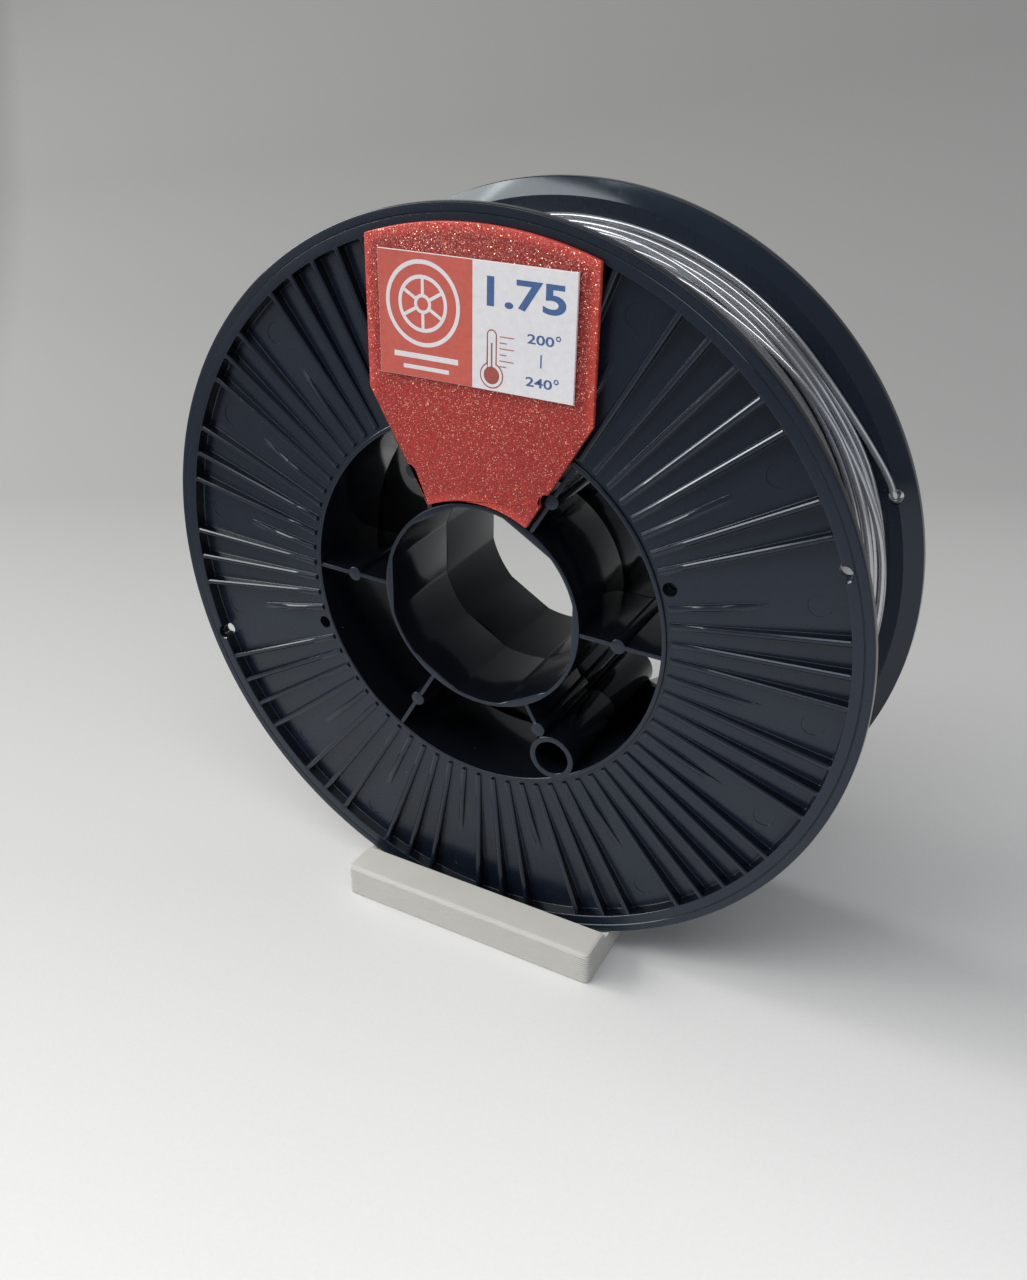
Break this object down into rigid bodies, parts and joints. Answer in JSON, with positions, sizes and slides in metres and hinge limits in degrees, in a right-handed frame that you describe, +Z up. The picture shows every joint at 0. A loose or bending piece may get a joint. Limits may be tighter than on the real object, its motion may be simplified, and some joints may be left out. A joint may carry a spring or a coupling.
{
  "type": "filament spool",
  "caption": "Round flanged spool of plastic filament with a ribbed front and rear flange, a flat-sided bore, a label plate and a slotted bar that it stands in.",
  "frame": {"origin": "on the floor under the middle of the whole assembly, with the spool's axis 100 mm above it", "axes": "+Y runs along the spool's axis from the label to the rear flange, +Z up, +X to the right when facing the label"},
  "size_m": [0.2, 0.0684, 0.2],
  "materials": {
    "black_plastic": "glossy black injection moulding with fine scuffs",
    "silver_filament": "satin silver-grey extruded filament",
    "red_glitter_plastic": "translucent red printed plastic with glitter flakes",
    "printed_card": "matt two-colour printed card",
    "white_printed_plastic": "off-white printed plastic with layer lines"
  },
  "bodies": {
    "stand": {"stand_block": "white_printed_plastic"},
    "spool": {"front_flange": "black_plastic", "rear_flange": "black_plastic", "front_drum_wall": "black_plastic", "rear_drum_wall": "black_plastic", "front_hub_tube": "black_plastic", "rear_hub_tube": "black_plastic", "front_key_tube": "black_plastic", "rear_key_tube": "black_plastic", "front_web_1": "black_plastic", "front_web_2": "black_plastic", "front_web_3": "black_plastic", "front_web_4": "black_plastic", "front_web_5": "black_plastic", "front_web_6": "black_plastic", "rear_web_1": "black_plastic", "rear_web_2": "black_plastic", "rear_web_3": "black_plastic", "rear_web_4": "black_plastic", "rear_web_5": "black_plastic", "rear_web_6": "black_plastic", "filament_winding": "silver_filament", "filament_tail": "silver_filament", "label_plate": "red_glitter_plastic", "label_card": "printed_card"}
  },
  "joints": [
    {"name": "spool_turn", "type": "hinge", "parent": "stand", "child": "spool", "pos_m": [0, 0, 0.1], "axis": [0, 1, 0], "continuous": true}
  ]
}
